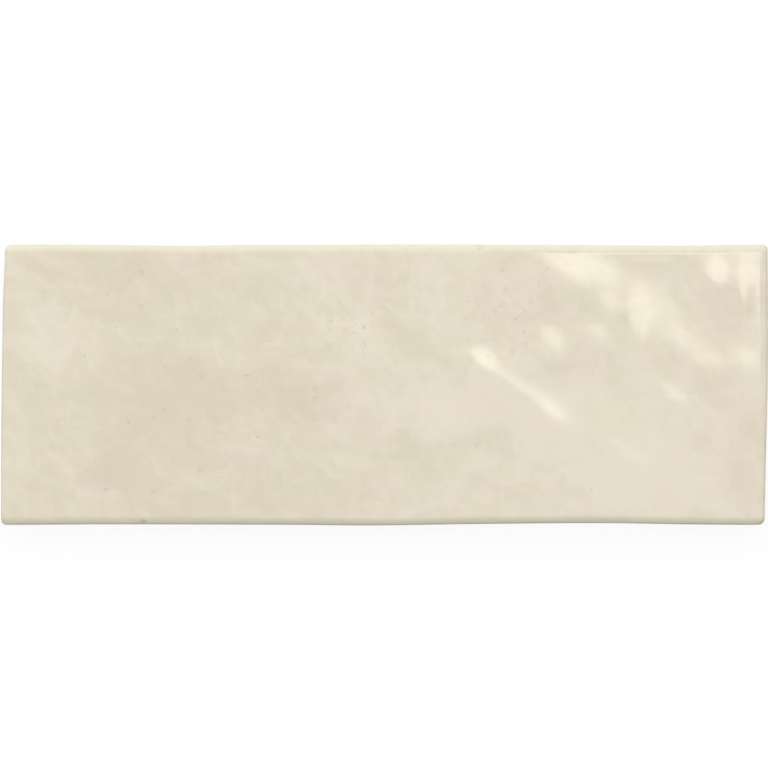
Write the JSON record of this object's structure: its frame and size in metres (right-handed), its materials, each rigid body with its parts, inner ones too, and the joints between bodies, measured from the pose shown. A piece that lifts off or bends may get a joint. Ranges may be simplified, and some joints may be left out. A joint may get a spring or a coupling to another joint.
{
  "type": "wall tile",
  "caption": "Rectangular glazed ceramic wall tile with a gently waving glossy cream face, uneven rolled edges and shallow keying pockets in its back.",
  "frame": {"origin": "middle of the back, on the plane that the back lies on", "axes": "+Z out of the glazed face, X along the length, +Y towards the edge that is uppermost in the picture"},
  "size_m": [0.1984, 0.0727, 0.0083],
  "materials": {
    "glaze": "gloss"
  },
  "bodies": {
    "root": {"tile": "glaze"}
  },
  "joints": []
}
